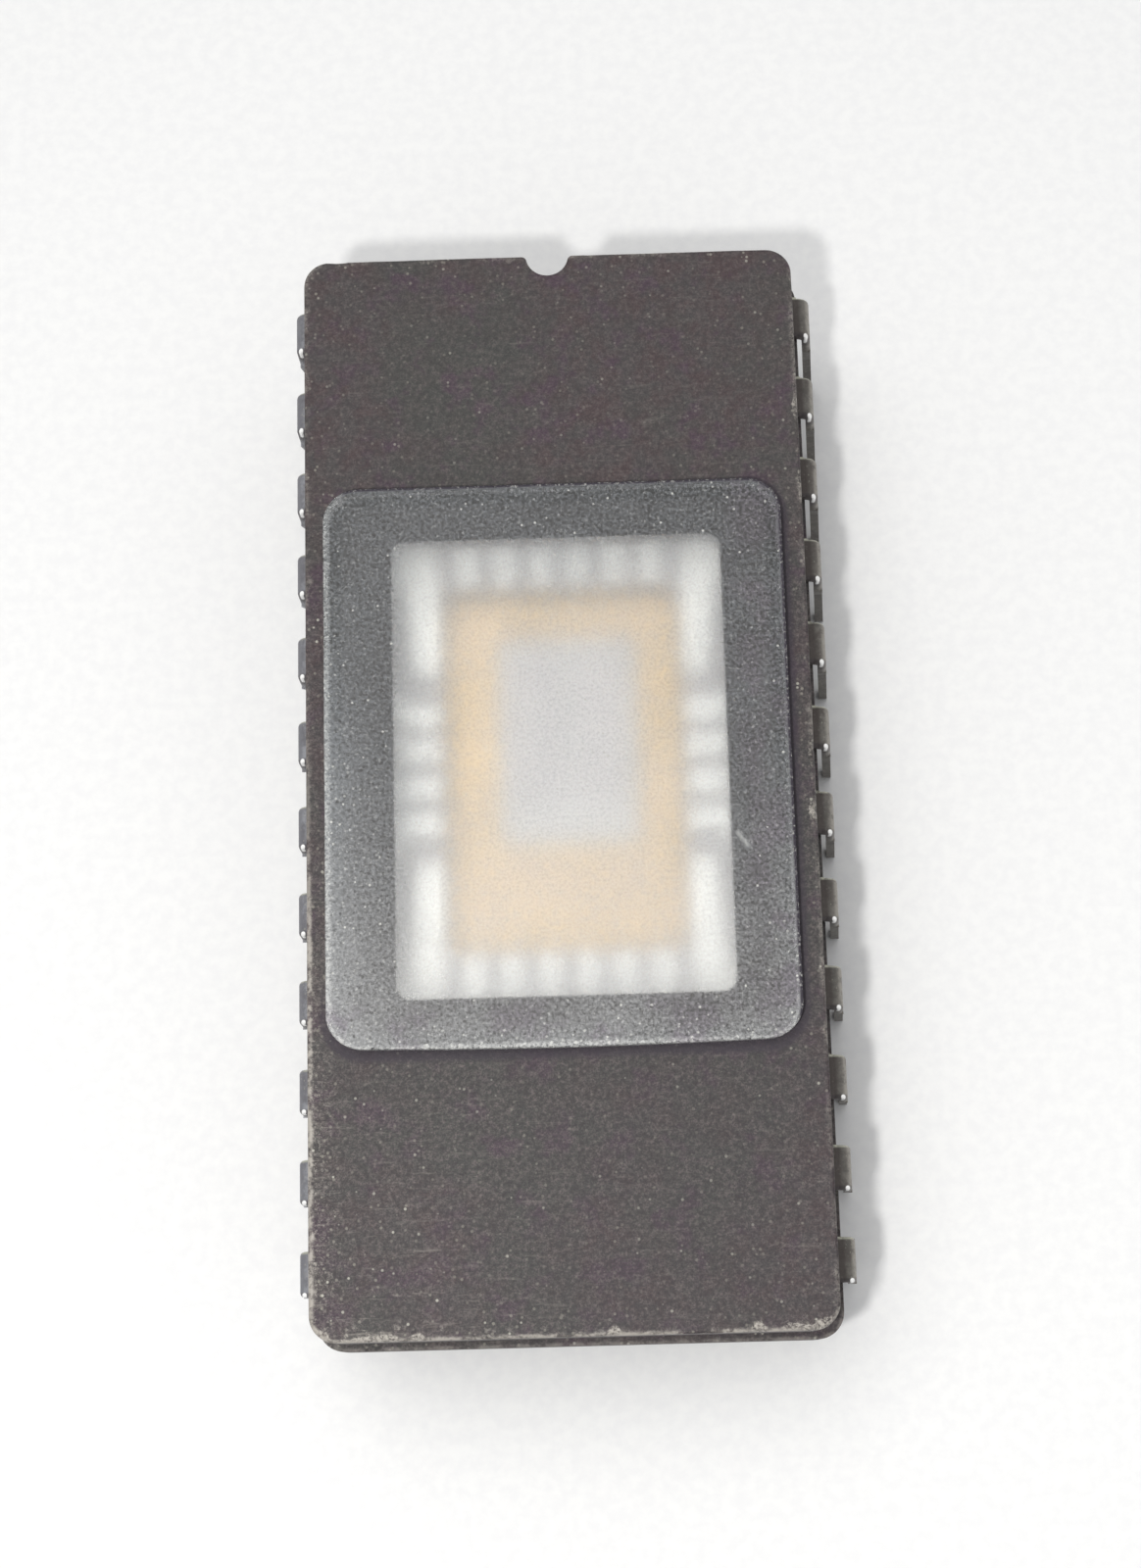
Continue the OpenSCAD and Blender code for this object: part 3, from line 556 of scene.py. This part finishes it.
def ground_pane(material):
    """Frosted pane: a flat top and foot with a ground edge between them, whose radius varies and is chipped
    along the lower end and the left side."""
    points, outs = outline(PANE_CENTRE, PANE_SIZE, PANE_CORNER, bow=0.1)
    n = len(points)
    lower = np.clip((-points[:, 1] + 1) / 8, 0, 1) * np.clip(1.2 - points[:, 0] / 8, 0.3, 1)
    west = np.clip(-points[:, 0] - 5.9, 0, 1)
    south = np.clip(-points[:, 1] - 7.0, 0, 1)
    chance = np.clip(west * (0.35 + 0.65 * lower) + south, 0, 1)
    chips = np.clip(rough_line(n, PANE_CHIP_SEED, 400, 0.15) - 1.2 + 1.1 * chance, 0, 1.6) / 1.6
    bevel = 0.05 + 0.01 * rough_line(n, PANE_BEVEL_SEED, 80, 0.4).clip(-2, 2) + 0.09 * chips
    worn = np.clip(0.15 * chance + chips, 0, 1)
    bare = np.zeros(n)
    section = [(row(points, outs, 0.3, PANE_TOP), bare),
               (row(points, outs, bevel + 0.03, PANE_TOP), 0.5 * worn)]
    section += rounded_edge(points, outs, bevel, PANE_TOP, 5, worn)
    section += [(row(points, outs, 0.02, 8.45), 0.4 * worn), (row(points, outs, 0.03, PANE_FOOT), bare)]
    return closed_shell("ground_pane", section, material, tube=False)


# Finishes on the CAD's pieces, and the two pieces that take the place of solids

def dress(node, material):
    """Gives a CAD node its finish."""
    mesh = nodes[node].data
    mesh.materials.clear()
    mesh.materials.append(material)


cap_ceramic = ceramic("cap_ceramic", CAP_CENTRE, CAP_SIZE, CAP_TOP, wear=1.0)
base_ceramic = ceramic("base_ceramic", BASE_CENTRE, BASE_SIZE, BASE_TOP, wear=0.4)
# One tin on both rows: the left row's paler tones are painted light, the right row's darker tones painted
# shade, and each row's edge tone is painted light and shade of the outer faces
lit_left_tin = tinned_lead("left_lead_tin", side=-1, dull=(124, 124, 129), pale=(152, 153, 158),
                       stained=(110, 108, 113), edge=(112, 112, 118))
shaded_right_tin = tinned_lead("right_lead_tin", side=1, dull=(100, 97, 92), pale=(124, 120, 114),
                        stained=(90, 83, 79), edge=(158, 154, 146))
wire_metal = bond_aluminium()
finishes = {"ceramic_cap": cap_ceramic, "ceramic_base": base_ceramic, "gold_pad": fired_gold(),
            "die_attach": bond_layer(), "silicon_die": die_face(),
            "seal_glass": sealing_glass("sealing_glass", (142, 138, 140), outer=(92, 86, 88), rough=0.35),
            "window_seal": sealing_glass("window_sealing_glass", (46, 40, 46), outer=(46, 40, 46), rough=0.3),
            "window_pane": frosted_pane()}
for name in nodes:
    if name.startswith("lead_"):
        finishes[name] = lit_left_tin if int(name[len("lead_"):]) <= ROW_LEADS else shaded_right_tin
    elif name.startswith("bond_wire_"):
        finishes[name] = wire_metal
    dress(name, finishes[name])

for piece, node, slot in ((worn_cap(cap_ceramic), "ceramic_cap", "dark_ceramic"),
                          (ground_pane(finishes["window_pane"]), "window_pane", "frosted_glass")):
    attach(piece, "root")
    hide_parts(node)


# Floor, light and camera, in metres

def floor(half):
    """A flat sheet in the plane of the lead tips, far wider than the view."""
    mesh = bpy.data.meshes.new("paper_floor")
    corners = [(-half, -half, 0), (half, -half, 0), (half, half, 0), (-half, half, 0)]
    mesh.from_pydata(corners, [], [(0, 1, 2, 3)])
    mesh.materials.append(paper())
    sheet = bpy.data.objects.new("paper_floor", mesh)
    bpy.context.scene.collection.objects.link(sheet)


def softbox(name, place, size, watts):
    """A square area lamp at a place, turned towards the middle of the chip."""
    aim, warm_white = (0, 0, 0.005), (1, 0.99, 0.97)
    light = bpy.data.lights.new(name, "AREA")
    light.shape, light.size, light.energy, light.color = "SQUARE", size, watts, warm_white
    lamp = bpy.data.objects.new(name, light)
    lamp.location = place
    lamp.rotation_euler = (Vector(aim) - Vector(place)).to_track_quat("-Z", "Y").to_euler()
    bpy.context.scene.collection.objects.link(lamp)


def spin(rotation):
    """Rotation matrix of a turn about an axis, from the axis times the angle (Rodrigues)."""
    angle = np.linalg.norm(rotation)
    k = np.cross(np.eye(3), np.asarray(rotation) / angle)
    return np.eye(3) + math.sin(angle) * k + (1 - math.cos(angle)) * k @ k


def camera(focal_px, photo_height_px):
    """The photograph's camera: its turn and place were fitted to the chip's own edges, in mm from a point
    that is level with the shoulders."""
    turn = spin((-0.22418338, 0.01090902, -0.02791097)) @ np.diag((1, -1, -1))
    offset = np.array((-0.16861443, -0.1536409, 75.91960752))
    fitted_from = (0, -0.075, 6.2)
    place = (-turn.T @ offset + fitted_from) * MM
    sensor = 36
    lens = bpy.data.cameras.new("camera")
    lens.sensor_fit, lens.sensor_height, lens.sensor_width = "VERTICAL", sensor, sensor
    lens.lens = focal_px * sensor / photo_height_px
    lens.clip_start, lens.clip_end = 0.005, 5
    view = bpy.data.objects.new("camera", lens)
    axes = np.column_stack((turn[0], -turn[1], -turn[2], place))
    view.matrix_world = Matrix([*axes.tolist(), [0, 0, 0, 1]])
    bpy.context.scene.collection.objects.link(view)
    bpy.context.scene.camera = view


def daylight(strength):
    """Plain pale surroundings."""
    world = bpy.data.worlds.new("room")
    world.use_nodes = True
    ground = world.node_tree.nodes["Background"]
    ground.inputs["Color"].default_value = (0.97, 0.98, 1.0, 1)
    ground.inputs["Strength"].default_value = strength
    bpy.context.scene.world = world


floor(half=0.6)
camera(focal_px=2679.828, photo_height_px=1600)
daylight(0.52)
softbox("window_light", (-0.17, 0.15, 0.95), size=0.6, watts=3.4)
softbox("near_lens", (-0.011, -0.025, 0.083), size=0.004, watts=0.029)
bpy.context.scene.view_settings.view_transform = "Standard"
